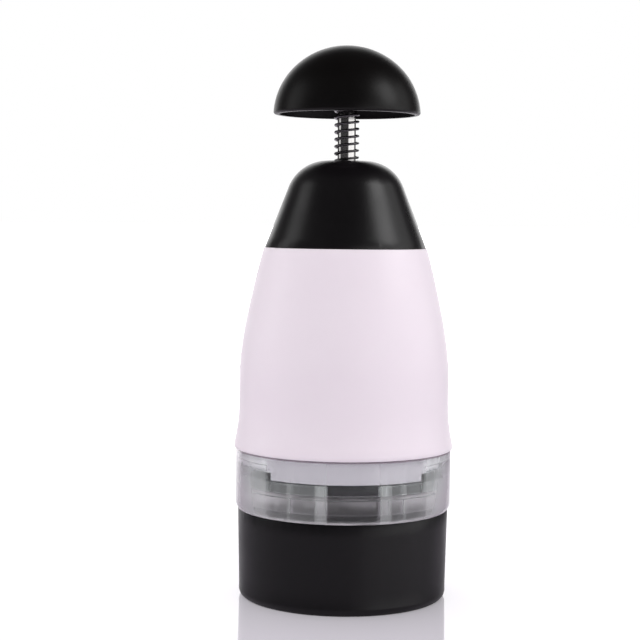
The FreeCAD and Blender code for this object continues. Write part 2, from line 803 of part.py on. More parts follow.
# Plunger rod: plain ground rod with two clip grooves near its foot
plunger_rod = new_body("plunger_rod")
rod_bottom = "(%s - rod_tail)" % lower_clip_bottom
turn(plunger_rod, "rod_turned", [
    ("0", rod_bottom),
    ("rod_radius - rod_chamfer", rod_bottom),
    ("rod_radius", rod_bottom + " + rod_chamfer"),
    ("rod_radius", lower_clip_bottom + " - clip_gap"),
    (groove_radius, lower_clip_bottom + " - clip_gap"),
    (groove_radius, lower_clip_bottom + " + clip_thickness + clip_gap"),
    ("rod_radius", lower_clip_bottom + " + clip_thickness + clip_gap"),
    ("rod_radius", upper_clip_bottom + " - clip_gap"),
    (groove_radius, upper_clip_bottom + " - clip_gap"),
    (groove_radius, upper_clip_bottom + " + clip_thickness + clip_gap"),
    ("rod_radius", upper_clip_bottom + " + clip_thickness + clip_gap"),
    ("rod_radius", insert_top),
    ("0", insert_top),
])

# Retaining clips: two snap rings, open on one side, that hold the hub on the rod
retaining_clips = new_body("retaining_clips")
for name, low in (("upper", upper_clip_bottom), ("lower", lower_clip_bottom)):
    ring_plan = circle_sketch(retaining_clips, name + "_clip_plan", [
        ("0", "0", clip_radius),
        ("0", "0", groove_radius + " + clip_gap"),
    ], low)
    pad(retaining_clips, name + "_clip", ring_plan, "clip_thickness")
mouth_plan = new_sketch(retaining_clips, "mouth_plan", "XY_Plane", [[
    ("-1 * clip_opening / 2", "0"),
    ("-1 * clip_opening / 2", "-1 * %s - cut_past" % clip_radius),
    ("clip_opening / 2", "-1 * %s - cut_past" % clip_radius),
    ("clip_opening / 2", "0"),
]], lower_clip_bottom + " - cut_past")
pocket_up(retaining_clips, "mouth", mouth_plan, "%s - %s + clip_thickness + 2 * cut_past" % (
    upper_clip_bottom, lower_clip_bottom))

# Thrust washers: one each side of the hub, under the clips
thrust_washers = new_body("thrust_washers")
for name, low in (("upper", upper_washer_bottom), ("lower", lower_washer_bottom)):
    washer_plan = circle_sketch(thrust_washers, name + "_washer_plan", [
        ("0", "0", washer_radius),
        ("0", "0", "rod_radius + washer_bore_gap"),
    ], low)
    pad(thrust_washers, name + "_washer", washer_plan, "washer_thickness")

# Rod bush: flanged bearing in the roof, which the cap clamps down
rod_bush = new_body("rod_bush")
turn(rod_bush, "bush_turned", [
    (rod_bore, roof_top + " - bush_length"),
    ("bush_radius", roof_top + " - bush_length"),
    ("bush_radius", roof_top),
    ("bush_flange_radius", roof_top),
    ("bush_flange_radius", bush_top),
    (rod_bore, bush_top),
])

# Spring seat: washer on the floor of the cap's well
spring_seat = new_body("spring_seat")
turn(spring_seat, "seat_turned", [
    ("rod_radius + well_rod_gap", well_floor_top),
    (well_radius + " - seat_gap", well_floor_top),
    (well_radius + " - seat_gap", spring_foot),
    ("rod_radius + well_rod_gap", spring_foot),
])

# Head washer: it takes the spring's push under the knob
head_washer = new_body("head_washer")
turn(head_washer, "head_washer_turned", [
    ("rod_radius + washer_bore_gap", spring_head),
    (head_washer_radius, spring_head),
    (head_washer_radius, knob_boss_bottom),
    ("rod_radius + washer_bore_gap", knob_boss_bottom),
])

# Cap screws: pan heads under the guide flange, up into the cap's bosses
cap_screws = new_body("cap_screws")
screw_seat = "(%s - flange_thickness)" % roof_under
head_plan = circle_sketch(cap_screws, "head_plan", [
    ("0", screw_circle_radius, "screw_head_radius"),
], screw_seat + " - screw_head_height")
screw_head = pad(cap_screws, "screw_head", head_plan, "screw_head_height")
shank_plan = circle_sketch(cap_screws, "shank_plan", [
    ("0", screw_circle_radius, "screw_radius"),
], screw_seat)
screw_shank = pad(cap_screws, "screw_shank", shank_plan,
                  "flange_thickness + roof_thickness + screw_reach")
around(cap_screws, "screws", [screw_head, screw_shank], "screw_count")

# Knob: hollow dome with a boss for the rod's threaded insert
knob = new_body("knob")
dome_shoulder = "(%s + knob_shoulder_height)" % knob_rim
crown_rise = "(knob_height - knob_shoulder_height)"
apex = "(%s + knob_height)" % knob_rim
inner_shoulder_radius = "(%s - knob_wall * cos(knob_corner_angle))" % knob_shoulder_radius
inner_shoulder = "(%s - knob_wall * sin(knob_corner_angle))" % dome_shoulder
inner_crown_rise = "(%s - knob_wall * (1 - sin(knob_corner_angle)))" % crown_rise
inner_apex = "(%s - knob_wall)" % apex


def crown_arc(radius, rise):
    """Radius of the arc that runs level over the axis and falls by a rise."""
    return "((%s^2 + %s^2) / (2 * %s))" % (radius, rise, rise)


turn(knob, "dome", [
    ("0", knob_rim),
    (knob_rim_radius + " - knob_rim_round", knob_rim, "knob_rim_round", "left"),
    (knob_rim_radius, knob_rim + " + knob_rim_round", "knob_side_arc", "left"),
    (knob_shoulder_radius, dome_shoulder, crown_arc(knob_shoulder_radius, crown_rise), "left"),
    ("0", apex),
])
turn(knob, "dome_hollow", [
    ("0", knob_rim + " - cut_past"),
    (knob_rim_radius + " - knob_wall", knob_rim + " - cut_past"),
    (knob_rim_radius + " - knob_wall", knob_rim + " + knob_rim_round",
     "knob_side_arc - knob_wall", "left"),
    (inner_shoulder_radius, inner_shoulder,
     crown_arc(inner_shoulder_radius, inner_crown_rise), "left"),
    ("0", inner_apex),
], cut=True)
turn(knob, "knob_boss", [
    ("0", insert_top),
    (insert_radius, insert_top),
    (insert_radius, knob_boss_bottom),
    (knob_boss_radius, knob_boss_bottom),
    (knob_boss_radius, inner_apex),
    ("0", inner_apex),
])

# Knob insert: brass thread that the rod screws into
knob_insert = new_body("knob_insert")
turn(knob_insert, "insert_turned", [
    ("rod_radius", knob_boss_bottom),
    (insert_radius, knob_boss_bottom),
    (insert_radius, insert_top),
    ("rod_radius", insert_top),
])

# Return spring: open coil round the rod, one unbroken tube from seat to washer
wire_radius = value("spring_wire") / 2.0
coil_low = value(spring_foot) + wire_radius
coil_high = value(spring_head) - wire_radius
coil_radius = value(spring_mean_radius)
half_turns = max(4, int(round(2.0 * (coil_high - coil_low) / value("spring_pitch"))))
half_rise = (coil_high - coil_low) / half_turns


def coil_point(half_turn):
    angle = math.pi * half_turn
    return Vector(coil_radius * math.cos(angle), coil_radius * math.sin(angle),
                  coil_low + half_rise * half_turn)


def coil_way(half_turn):
    angle = math.pi * half_turn
    return Vector(-coil_radius * math.sin(angle) * math.pi,
                  coil_radius * math.cos(angle) * math.pi, half_rise).normalize()


def arc_through(start, corner, end):
    """The arc that leaves start towards corner and arrives at end from it."""
    arm = (corner - start).Length
    to_chord = (start + end) * 0.5 - corner
    half_angle = math.asin(min(1.0, to_chord.Length / arm))
    middle = corner + to_chord.normalize() * arm * math.tan(half_angle / 2.0)
    return Part.Arc(start, middle, end)


coil_edges = []
coil_samples = []
for step in range(half_turns):
    start = coil_point(step)
    end = coil_point(step + 1)
    way_in = coil_way(step)
    way_out = coil_way(step + 1)
    across = end - start
    a = 2.0 - 2.0 * way_in.dot(way_out)
    b = 2.0 * across.dot(way_in + way_out)
    arm = (-b + math.sqrt(b * b + 4.0 * a * across.dot(across))) / (2.0 * a)
    first_corner = start + way_in * arm
    last_corner = end - way_out * arm
    joint = (first_corner + last_corner) * 0.5
    for arc in (arc_through(start, first_corner, joint), arc_through(joint, last_corner, end)):
        edge = arc.toShape()
        coil_edges.append(edge)
        coil_samples.append(edge.discretize(8)[:-1])
coil_path = Part.Wire(coil_edges)
wire_circle = Part.makeCircle(wire_radius, coil_point(0), coil_way(0))
coil_shell = Part.BRepOffsetAPI.MakePipeShell(coil_path)
coil_shell.add(Part.Wire([wire_circle]), False, False)
coil_shell.build()
coil_shell.makeSolid()
return_spring = new_feature("return_spring", coil_shell.shape())

# The least gap between turns, measured on points a turn or so apart
points = [point for sample in coil_samples for point in sample]
per_turn = len(points) * 2 // half_turns
least = min((points[i] - points[j]).Length
            for i in range(len(points))
            for j in range(i + per_turn // 2, min(len(points), i + 2 * per_turn)))
print("spring: %.2f turns, least gap to itself %.3f mm" % (half_turns / 2.0, least - 2 * wire_radius))
tube_volume = math.pi * wire_radius ** 2 * coil_path.Length
print("spring: volume over section times length %.4f" % (return_spring.Shape.Volume / tube_volume))

doc.recompute()

# The crowns are set round so that their upright faces stand clear of the hub's
half_pitch = 180.0 / value("tooth_count")
upper_crown.Placement = FreeCAD.Placement(
    Vector(0, 0, 0), FreeCAD.Rotation(Vector(0, 0, 1), value("upper_turn_gap")))
lower_crown.Placement = FreeCAD.Placement(
    Vector(0, 0, 0), FreeCAD.Rotation(Vector(0, 0, 1), half_pitch + value("lower_turn_gap")))
doc.recompute()

nodes = [
    base_cup,
    chamber_ring,
    scraper_plate,
    housing_shell,
    top_cap,
    guide_tube,
    upper_crown,
    lower_crown,
    rod_bush,
    spring_seat,
    cap_screws,
    return_spring,
    head_washer,
    knob,
    knob_insert,
    plunger_rod,
    retaining_clips,
    thrust_washers,
    ratchet_hub,
    blade_carrier,
    zigzag_blade,
]
solids_in = {
    cap_screws: screw_count,
    retaining_clips: clip_count,
    thrust_washers: clip_count,
}

for thing in doc.Objects:
    if "Invalid" in thing.State or "Error" in thing.State:
        raise RuntimeError("%s did not build: %s" % (thing.Name, thing.State))
for node in nodes:
    shape = node.Shape
    if shape.isNull() or not shape.isValid():
        raise RuntimeError("%s has no valid shape" % node.Label)
    if len(shape.Solids) != solids_in.get(node, 1):
        raise RuntimeError("%s has %d solids" % (node.Label, len(shape.Solids)))
    print("%-16s %9.1f mm3" % (node.Label, shape.Volume))

os.makedirs("parts", exist_ok=True)
for node in nodes:
    node.Shape.exportStep("parts/%s.step" % node.Label)
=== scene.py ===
import math

import bpy
from mathutils import Matrix, Vector


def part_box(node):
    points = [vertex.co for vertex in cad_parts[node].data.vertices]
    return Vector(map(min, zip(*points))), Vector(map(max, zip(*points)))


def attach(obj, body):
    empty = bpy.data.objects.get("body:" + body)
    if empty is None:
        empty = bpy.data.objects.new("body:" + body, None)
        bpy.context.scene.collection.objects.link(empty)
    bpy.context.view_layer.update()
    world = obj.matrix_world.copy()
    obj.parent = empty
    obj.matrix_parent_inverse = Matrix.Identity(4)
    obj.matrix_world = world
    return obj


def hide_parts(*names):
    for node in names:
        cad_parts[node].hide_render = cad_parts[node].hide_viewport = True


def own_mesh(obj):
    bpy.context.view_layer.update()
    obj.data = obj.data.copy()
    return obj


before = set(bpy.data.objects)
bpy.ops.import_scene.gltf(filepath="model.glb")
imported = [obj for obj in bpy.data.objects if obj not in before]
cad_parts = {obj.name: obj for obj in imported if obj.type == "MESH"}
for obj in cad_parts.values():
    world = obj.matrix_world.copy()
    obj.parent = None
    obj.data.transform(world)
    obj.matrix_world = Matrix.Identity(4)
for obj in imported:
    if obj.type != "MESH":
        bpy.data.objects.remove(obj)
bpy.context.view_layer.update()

# The camera. A short telephoto stands a little left of the front, at the height of the
# housing's shoulder. It looks slightly down and leans by half a degree, as the
# photograph does.
mm = 0.001
camera_distance = 660 * mm
camera_height = 155.3 * mm
camera_side = math.radians(-2.5)
camera_pitch = math.radians(-3.63)
camera_turn = math.radians(0.88)
camera_lean = math.radians(0.6)
sensor_width = 36
focal_share = 1607 / 640

camera_data = bpy.data.cameras.new("studio_camera")
camera_data.sensor_width = sensor_width
camera_data.lens = sensor_width * focal_share
camera = bpy.data.objects.new("studio_camera", camera_data)
camera.location = (
    camera_distance * math.sin(camera_side),
    -camera_distance * math.cos(camera_side),
    camera_height,
)
aim = Matrix.Rotation(camera_side + camera_turn, 3, "Z")
aim = aim @ Matrix.Rotation(math.radians(90) + camera_pitch, 3, "X")
aim = aim @ Matrix.Rotation(camera_lean, 3, "Z")
camera.rotation_euler = aim.to_euler()
bpy.context.scene.collection.objects.link(camera)
bpy.context.scene.camera = camera
bpy.context.scene.view_settings.view_transform = "Standard"


# The studio. A white sweep close behind the object is lit past white, and the room before
# it is dim, so gloss stays dark. A low card on the right puts a streak on the rod. Even
# fill, stronger from the left, and three softboxes light everything.
def linear(hex_colour):
    """An sRGB hex colour as the linear colour that a shader takes."""
    values = [int(hex_colour[k:k + 2], 16) / 255 for k in (0, 2, 4)]
    return [v / 12.92 if v <= 0.04045 else ((v + 0.055) / 1.055) ** 2.4 for v in values] + [1.0]


def add_node(tree, kind, inputs=None, **settings):
    """Adds a shader node, sets its settings, and fills or links its inputs."""
    node = tree.nodes.new("ShaderNode" + kind)
    for name, setting in settings.items():
        setattr(node, name, setting)
    for socket, source in (inputs or {}).items():
        if isinstance(source, bpy.types.NodeSocket):
            tree.links.new(source, node.inputs[socket])
        else:
            node.inputs[socket].default_value = source
    return node


# Levels, where 1 is white, and the directions between which each of them fades in. A
# direction is a share of the way to the right (X), to the back (Y) or up (Z).
room_front = 0.04
room_back = 1.8
sweep_from, sweep_to = 0.74, 0.95
card_level = 1.5
card_side_from, card_side_to = 0.25, 0.45
card_front_from, card_front_to = 0.15, -0.05
card_top_from, card_top_to = 0.24, 0.14
fill_left = 2.28
fill_right = 1.75
fill_above = 0.15
fill_above_from, fill_above_to = 0.1, 0.9

world = bpy.data.worlds.new("studio_room")
bpy.context.scene.world = world
world.use_nodes = True
tree = world.node_tree
tree.nodes.clear()
way = add_node(tree, "TexCoord")
parts = add_node(tree, "SeparateXYZ", {"Vector": way.outputs["Generated"]})
sweep = add_node(tree, "MapRange", {
    "Value": parts.outputs["Y"],
    "From Min": sweep_from,
    "From Max": sweep_to,
    "To Min": room_front,
    "To Max": room_back,
}, interpolation_type="SMOOTHSTEP")
card_side = add_node(tree, "MapRange", {
    "Value": parts.outputs["X"],
    "From Min": card_side_from,
    "From Max": card_side_to,
    "To Max": card_level,
})
card_front = add_node(tree, "MapRange", {
    "Value": parts.outputs["Y"],
    "From Min": card_front_from,
    "From Max": card_front_to,
})
card_top = add_node(tree, "MapRange", {
    "Value": parts.outputs["Z"],
    "From Min": card_top_from,
    "From Max": card_top_to,
})
card = add_node(tree, "Math", {
    0: card_side.outputs["Result"],
    1: card_front.outputs["Result"],
}, operation="MULTIPLY")
seen = add_node(tree, "Math", {
    0: card.outputs[0],
    1: card_top.outputs["Result"],
    2: sweep.outputs["Result"],
}, operation="MULTIPLY_ADD")
fill = add_node(tree, "MapRange", {
    "Value": parts.outputs["X"],
    "From Min": -1.0,
    "From Max": 1.0,
    "To Min": fill_left,
    "To Max": fill_right,
})
overhead = add_node(tree, "MapRange", {
    "Value": parts.outputs["Z"],
    "From Min": fill_above_from,
    "From Max": fill_above_to,
    "To Min": 1.0,
    "To Max": fill_above,
})
even = add_node(tree, "Math", {
    0: fill.outputs["Result"],
    1: overhead.outputs["Result"],
}, operation="MULTIPLY")
ray = add_node(tree, "LightPath")
plain = add_node(tree, "Math", {
    0: ray.outputs["Is Camera Ray"],
    1: ray.outputs["Is Transmission Ray"],
}, operation="MAXIMUM")
gloss = add_node(tree, "Mix", {
    "Factor": ray.outputs["Is Glossy Ray"],
    "A": even.outputs[0],
    "B": seen.outputs[0],
}, data_type="FLOAT")
level = add_node(tree, "Mix", {
    "Factor": plain.outputs[0],
    "A": gloss.outputs["Result"],
    "B": 1.0,
}, data_type="FLOAT")
room = add_node(tree, "Background", {
    "Color": linear("ffffff"),
    "Strength": level.outputs["Result"],
})
add_node(tree, "OutputWorld", {"Surface": room.outputs["Background"]})

object_middle = Vector((0, 0, 0.12))


def softbox(name, azimuth, height, distance, wide, tall, watts):
    """A rectangular lamp aimed at the object's middle, in metres. Azimuth is in degrees
    to the right of the front."""
    lamp = bpy.data.lights.new(name, "AREA")
    lamp.shape = "RECTANGLE"
    lamp.size = wide
    lamp.size_y = tall
    lamp.energy = watts
    turn = math.radians(azimuth)
    place = Vector((math.sin(turn) * distance, -math.cos(turn) * distance, height))
    box = bpy.data.objects.new(name, lamp)
    box.location = place
    box.rotation_euler = (object_middle - place).to_track_quat("-Z", "Y").to_euler()
    bpy.context.scene.collection.objects.link(box)
    return box


softboxes = [
    softbox("right_softbox", azimuth=68, height=0.70, distance=0.85,
            wide=0.45, tall=0.55, watts=2.7),
    softbox("left_softbox", azimuth=-95, height=0.55, distance=1.1,
            wide=0.5, tall=0.8, watts=1.3),
    softbox("rear_softbox", azimuth=98, height=0.50, distance=1.1,
            wide=0.6, tall=0.8, watts=1.08),
]

# The table. White gloss acrylic, white where it mirrors the sweep and a pale lavender grey
# where the cup hides the sweep from it. Further out it is lit up to white, and the
# softboxes pass it by, so that it doesn't mirror their edges.
table_reach = 30.0
table_white = "ebe4f0"
table_gloss = 0.04
acrylic_ior = 1.49
table_glow = 0.16
glow_start = 0.15
glow_end = 0.9

corners = [(x * table_reach, y * table_reach, 0) for x, y in ((-1, -1), (1, -1), (1, 1), (-1, 1))]
floor_mesh = bpy.data.meshes.new("table")
floor_mesh.from_pydata(corners, [], [(0, 1, 2, 3)])
floor = bpy.data.objects.new("table", floor_mesh)
bpy.context.scene.collection.objects.link(floor)


def new_material(name):
    """An empty node material, and its tree."""
    material = bpy.data.materials.new(name)
    material.use_nodes = True
    material.node_tree.nodes.clear()
    return material, material.node_tree


gloss_acrylic, tree = new_material("gloss_acrylic_sheet")
ray = add_node(tree, "LightPath")
spot = add_node(tree, "TexCoord")
away = add_node(tree, "VectorMath", {0: spot.outputs["Object"]}, operation="LENGTH")
outwards = add_node(tree, "MapRange", {
    "Value": away.outputs["Value"],
    "From Min": glow_start,
    "From Max": glow_end,
    "To Min": table_glow,
    "To Max": 1.0,
}, interpolation_type="SMOOTHSTEP")
glow = add_node(tree, "Math", {
    0: ray.outputs["Is Camera Ray"],
    1: outwards.outputs["Result"],
}, operation="MULTIPLY")
sheet = add_node(tree, "BsdfPrincipled", {
    "Base Color": linear(table_white),
    "Roughness": table_gloss,
    "IOR": acrylic_ior,
    "Emission Color": linear("ffffff"),
    "Emission Strength": glow.outputs[0],
})
add_node(tree, "OutputMaterial", {"Surface": sheet.outputs["BSDF"]})
floor_mesh.materials.append(gloss_acrylic)

unlit = bpy.data.collections.new("not_lit_by_softboxes")
unlit.objects.link(floor)
unlit.collection_objects[0].light_linking.link_state = "EXCLUDE"
for box in softboxes:
    box.light_linking.receiver_collection = unlit

# The cup. Black ABS, injection-moulded in one piece with its flat floor and narrow foot
# ring. Its spark-eroded mould leaves a fine satin. It stands loose, and the ring's spigot
# sits in its mouth.
cloud_mm = 22
noise_low, noise_high = 0.3, 0.7
weld_mm = 0.002
edge_angle = math.radians(35)


def moulded_texture(tree, grain_mm, lift_mm, rough_low, rough_high):
    """The skin that a mould leaves: a grain, and faint cloudy changes of gloss."""
    place = add_node(tree, "TexCoord")
    grain = add_node(tree, "TexNoise", {
        "Vector": place.outputs["Object"],
        "Scale": 1 / (grain_mm * mm),
        "Detail": 2.0,
    })
    cloud = add_node(tree, "TexNoise", {
        "Vector": place.outputs["Object"],
        "Scale": 1 / (cloud_mm * mm),
        "Detail": 3.0,
    })
    rough = add_node(tree, "MapRange", {
        "Value": cloud.outputs["Fac"],
        "From Min": noise_low,
        "From Max": noise_high,
        "To Min": rough_low,
        "To Max": rough_high,
    })
    bump = add_node(tree, "Bump", {
        "Height": grain.outputs["Fac"],
        "Distance": lift_mm * mm,
        "Strength": 1.0,
    })
    return cloud, rough, bump


def satin_abs(name, colour, worn, rough_low, rough_high, ior=1.4):
    """Black ABS. The mould's grain breaks up the highlights, and wear leaves paler clouds.
    The grain is drawn at 0.5 mm, because the real one is too fine to show."""
    material, tree = new_material(name)
    cloud, rough, bump = moulded_texture(tree, grain_mm=0.5, lift_mm=0.006,
                                         rough_low=rough_low, rough_high=rough_high)
    tint = add_node(tree, "Mix", {
        "Factor": cloud.outputs["Fac"],
        "A": linear(colour),
        "B": linear(worn),
    }, data_type="RGBA")
    skin = add_node(tree, "BsdfPrincipled", {
        "Base Color": tint.outputs["Result"],
        "Roughness": rough.outputs["Result"],
        "IOR": ior,
        "Normal": bump.outputs["Normal"],
    })
    add_node(tree, "OutputMaterial", {"Surface": skin.outputs["BSDF"]})
    return material


def dress(node, material, edge_mm=0.0):
    """Gives a solid its material, smooth faces and, where it has one, a rounded edge."""
    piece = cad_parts[node]
    piece.data.materials.clear()
    piece.data.materials.append(material)
    weld = piece.modifiers.new("weld", "WELD")
    weld.merge_threshold = weld_mm * mm
    if edge_mm:
        edge = piece.modifiers.new("edge", "BEVEL")
        edge.width = edge_mm * mm
        edge.segments = 2
        edge.limit_method = "ANGLE"
        edge.angle_limit = edge_angle
        edge.harden_normals = True


cup_abs = satin_abs("moulded_black_abs", "060406", "0c090d", rough_low=0.32, rough_high=0.42)
dress("base_cup", cup_abs, edge_mm=0.4)

# The chamber ring. Clear styrene-acrylonitrile, slightly smoky, moulded with its ribs and
# posts and set in the cup's mouth. Only the two windows between the posts are polished
# inside, and the rest of the inner wall is satin and blurs what stands behind it.
window_turn = math.radians(3.2)
window_half = math.radians(14.0)
post_middle = math.radians(16.75)
post_half = math.radians(3.0)
rib_middle = math.radians(31.0)
rib_half = math.radians(0.8)
band_edge = math.radians(0.4)
side_start = math.radians(45.5)
inner_wall = 42.8 * mm
window_foot = 47.3 * mm
skirt_foot = 51.6 * mm
rim_foot = 60.5 * mm
satin_rough = 0.32
san_ior = 1.4
clear_tint = "eff3f2"
edge_tint = "b2a9b3"
# The darker tint of the inner wall below the windows is painted shade low in the ring.
low_inside_shade_tint = "cbc2ca"
# The grey of the thin band at the ring's top is painted shade under the housing's foot.
rim_shade_tint = "988d96"
lamp_tint = "f4f6f6"

# How much of the light passes a window, and how much of it each place loses. The haze
# grows as the wall is seen edge-on. The thin grey band at the top is painted shade, where the
# housing's foot overhangs the ring.
clear_window = 0.99
satin_haze = 0.07
post_haze = 0.14
rib_haze = 0.10
edge_haze = 0.30
side_haze = 0.13
rim_shade_loss = 0.40
edge_on_from, edge_on_to = 0.30, 0.85


def band(tree, angle, middle, half):
    """1 where an angle lies within half of middle on either side of zero, and 0 outside."""
    size = add_node(tree, "Math", {0: angle}, operation="ABSOLUTE")
    apart = add_node(tree, "Math", {0: size.outputs[0], 1: middle}, operation="SUBTRACT")
    away = add_node(tree, "Math", {0: apart.outputs[0]}, operation="ABSOLUTE")
    return add_node(tree, "MapRange", {
        "Value": away.outputs[0],
        "From Min": half,
        "From Max": half + band_edge,
        "To Min": 1.0,
        "To Max": 0.0,
    }).outputs["Result"]


def clear_san(name):
    """Clear SAN with the faint flow waves of a moulding, 9 mm wide. It lets the lamps
    through, so that what stands inside it is lit."""
    material, tree = new_material(name)
    _, polish, bump = moulded_texture(tree, grain_mm=9.0, lift_mm=0.004,
                                      rough_low=0.02, rough_high=0.05)

    # The angle round the axis from the front, or for the back half from the back.
    place = add_node(tree, "TexCoord").outputs["Object"]
    split = add_node(tree, "SeparateXYZ", {"Vector": place})
    face = add_node(tree, "Math", {0: split.outputs["Y"]}, operation="SIGN")
    across = add_node(tree, "Math", {
        0: split.outputs["X"],
        1: face.outputs[0],
    }, operation="MULTIPLY")
    depth = add_node(tree, "Math", {0: split.outputs["Y"]}, operation="ABSOLUTE")
    turned = add_node(tree, "Math", {
        0: across.outputs[0],
        1: depth.outputs[0],
    }, operation="ARCTAN2")
    from_window = add_node(tree, "Math", {
        0: turned.outputs[0],
        1: window_turn,
    }, operation="ADD")

    # Windows, posts, ribs and sides, and the heights at which they change.
    height = split.outputs["Z"]
    above = add_node(tree, "Math", {0: height, 1: window_foot}, operation="GREATER_THAN")
    below = add_node(tree, "Math", {0: height, 1: skirt_foot}, operation="LESS_THAN")
    rim = add_node(tree, "Math", {0: height, 1: rim_foot}, operation="GREATER_THAN")
    opening = band(tree, from_window.outputs[0], 0.0, window_half)
    window = add_node(tree, "Math", {0: opening, 1: above.outputs[0]}, operation="MULTIPLY")
    walled = add_node(tree, "Math", {0: 1.0, 1: opening}, operation="SUBTRACT")
    posts = band(tree, from_window.outputs[0], post_middle, post_half)
    ribs = band(tree, turned.outputs[0], rib_middle, rib_half)
    front = band(tree, turned.outputs[0], 0.0, side_start)
    sides = add_node(tree, "Math", {0: 1.0, 1: front}, operation="SUBTRACT")

    # The satin of the inner wall, outside the windows.
    level = add_node(tree, "VectorMath", {0: place, 1: (1, 1, 0)}, operation="MULTIPLY")
    radius = add_node(tree, "VectorMath", {0: level.outputs["Vector"]}, operation="LENGTH")
    inside = add_node(tree, "Math", {
        0: radius.outputs["Value"],
        1: inner_wall,
    }, operation="LESS_THAN")
    unpolished = add_node(tree, "Math", {0: 1.0, 1: window.outputs[0]}, operation="SUBTRACT")
    satin = add_node(tree, "Math", {
        0: inside.outputs[0],
        1: unpolished.outputs[0],
    }, operation="MULTIPLY")
    rough = add_node(tree, "Math", {
        0: satin.outputs[0],
        1: satin_rough,
        2: polish.outputs["Result"],
    }, operation="MULTIPLY_ADD")

    # What is left of the light once each place has taken its share.
    edge_on = add_node(tree, "LayerWeight", {"Blend": 0.5})
    haze = add_node(tree, "MapRange", {
        "Value": edge_on.outputs["Facing"],
        "From Min": edge_on_from,
        "From Max": edge_on_to,
        "To Min": 0.0,
        "To Max": 1.0,
    }, interpolation_type="SMOOTHSTEP")
    losses = []
    for share, loss in ((walled.outputs[0], satin_haze), (posts, post_haze), (ribs, rib_haze)):
        under_skirt = add_node(tree, "Math", {0: share, 1: below.outputs[0]},
                               operation="MULTIPLY")
        losses.append((under_skirt.outputs[0], loss))
    losses.append((haze.outputs["Result"], edge_haze))
    losses.append((sides.outputs[0], side_haze))
    # The top band passes less light too, as part of the same painted shade.
    losses.append((rim.outputs[0], rim_shade_loss))
    clarity = clear_window
    for share, loss in losses:
        clarity = add_node(tree, "Math", {0: share, 1: -loss, 2: clarity},
                           operation="MULTIPLY_ADD").outputs[0]

    tint = add_node(tree, "Mix", {
        "Factor": haze.outputs["Result"],
        "A": linear(clear_tint),
        "B": linear(edge_tint),
    }, data_type="RGBA")
    # Inner faces below the windows are tinted darker: painted shade low inside the ring.
    under = add_node(tree, "Math", {
        0: inside.outputs[0],
        1: above.outputs[0],
    }, operation="SUBTRACT", use_clamp=True)
    shaded_inside = add_node(tree, "Mix", {
        "Factor": under.outputs[0],
        "A": tint.outputs["Result"],
        "B": linear(low_inside_shade_tint),
    }, data_type="RGBA")
    # Painted shade: the top band is greyed where the housing's foot overhangs the ring.
    shaded = add_node(tree, "Mix", {
        "Factor": rim.outputs[0],
        "A": shaded_inside.outputs["Result"],
        "B": linear(rim_shade_tint),
    }, data_type="RGBA")
    body = add_node(tree, "BsdfPrincipled", {
        "Base Color": shaded.outputs["Result"],
        "Roughness": rough.outputs[0],
        "IOR": san_ior,
        "Transmission Weight": clarity,
        "Normal": bump.outputs["Normal"],
    })
    passed = add_node(tree, "BsdfTransparent", {"Color": linear(lamp_tint)})
    ray = add_node(tree, "LightPath")
    lit_through = add_node(tree, "Math", {
        0: ray.outputs["Is Shadow Ray"],
        1: ray.outputs["Is Diffuse Ray"],
    }, operation="MAXIMUM")
    wall = add_node(tree, "MixShader", {
        0: lit_through.outputs[0],
        1: body.outputs["BSDF"],
        2: passed.outputs["BSDF"],
    })
    add_node(tree, "OutputMaterial", {"Surface": wall.outputs["Shader"]})
    return material


dress("chamber_ring", clear_san("polished_clear_san"), edge_mm=0.3)

# The scraper plate. Black ABS, moulded like the cup, with a slot that lets the blade
# through. It lies loose on the ring's ledge and turns with the blade.
dress("scraper_plate", cup_abs, edge_mm=0.2)


# The housing. White polypropylene, satin and slightly translucent, with the cool pink cast
# of the studio light on it. Moulded in one piece with its neck, skirt and snap beads, and
# snapped into the ring.
def waxy_moulding(name, colour, shade):
    """Polypropylene or acetal, which light enters a little way. The satin grain is drawn
    at 0.6 mm, because the real one is too fine to show."""
    material, tree = new_material(name)
    cloud, rough, bump = moulded_texture(tree, grain_mm=0.6, lift_mm=0.005,
                                         rough_low=0.34, rough_high=0.44)
    tint = add_node(tree, "Mix", {
        "Factor": cloud.outputs["Fac"],
        "A": linear(colour),
        "B": linear(shade),
    }, data_type="RGBA")
    skin = add_node(tree, "BsdfPrincipled", {
        "Base Color": tint.outputs["Result"],
        "Roughness": rough.outputs["Result"],
        "IOR": 1.49,
        "Subsurface Weight": 0.2,
        "Subsurface Radius": (1.0, 0.9, 0.95),
        "Subsurface Scale": 2.5 * mm,
        "Normal": bump.outputs["Normal"],
    })
    add_node(tree, "OutputMaterial", {"Surface": skin.outputs["BSDF"]})
    return material


housing_white = waxy_moulding("moulded_white_polypropylene", "ebe1e9", "e7dce5")
dress("housing_shell", housing_white, edge_mm=0.5)

# The works under the cap. Natural acetal, moulded, off-white and waxy. The guide tube is
# screwed up under the roof with a toothed crown at each end. The clips hold the hub and
# its washers on the rod, and the hub carries the blade's carrier.
works_acetal = waxy_moulding("moulded_natural_acetal", "dcd8d2", "d3cec8")
for node in ("guide_tube", "upper_crown", "lower_crown", "ratchet_hub", "blade_carrier",
             "thrust_washers"):
    dress(node, works_acetal, edge_mm=0.15)

# The cap. Black ABS, a little paler and glossier than the cup because its mould was
# polished finer. Screws from below hold it down on the housing's neck.
cap_abs = satin_abs("fine_moulded_black_abs", "0b090b", "100d10", rough_low=0.26,
                    rough_high=0.36, ior=1.48)
dress("top_cap", cap_abs, edge_mm=0.3)

# The knob. Hollow black ABS dome with a rounded rim and a boss for its brass insert. Use
# has worn it smooth, so its highlight is broad and soft.
knob_abs = satin_abs("worn_black_abs", "060404", "0c0909", rough_low=0.30,
                     rough_high=0.42, ior=1.33)
dress("knob", knob_abs)

# The rod. Stainless steel, ground and polished along its length, so that highlights run in
# streaks. It screws into the knob's insert, and two grooves near its foot take the clips.
line_stretch = 0.04
line_depth_mm = 0.002


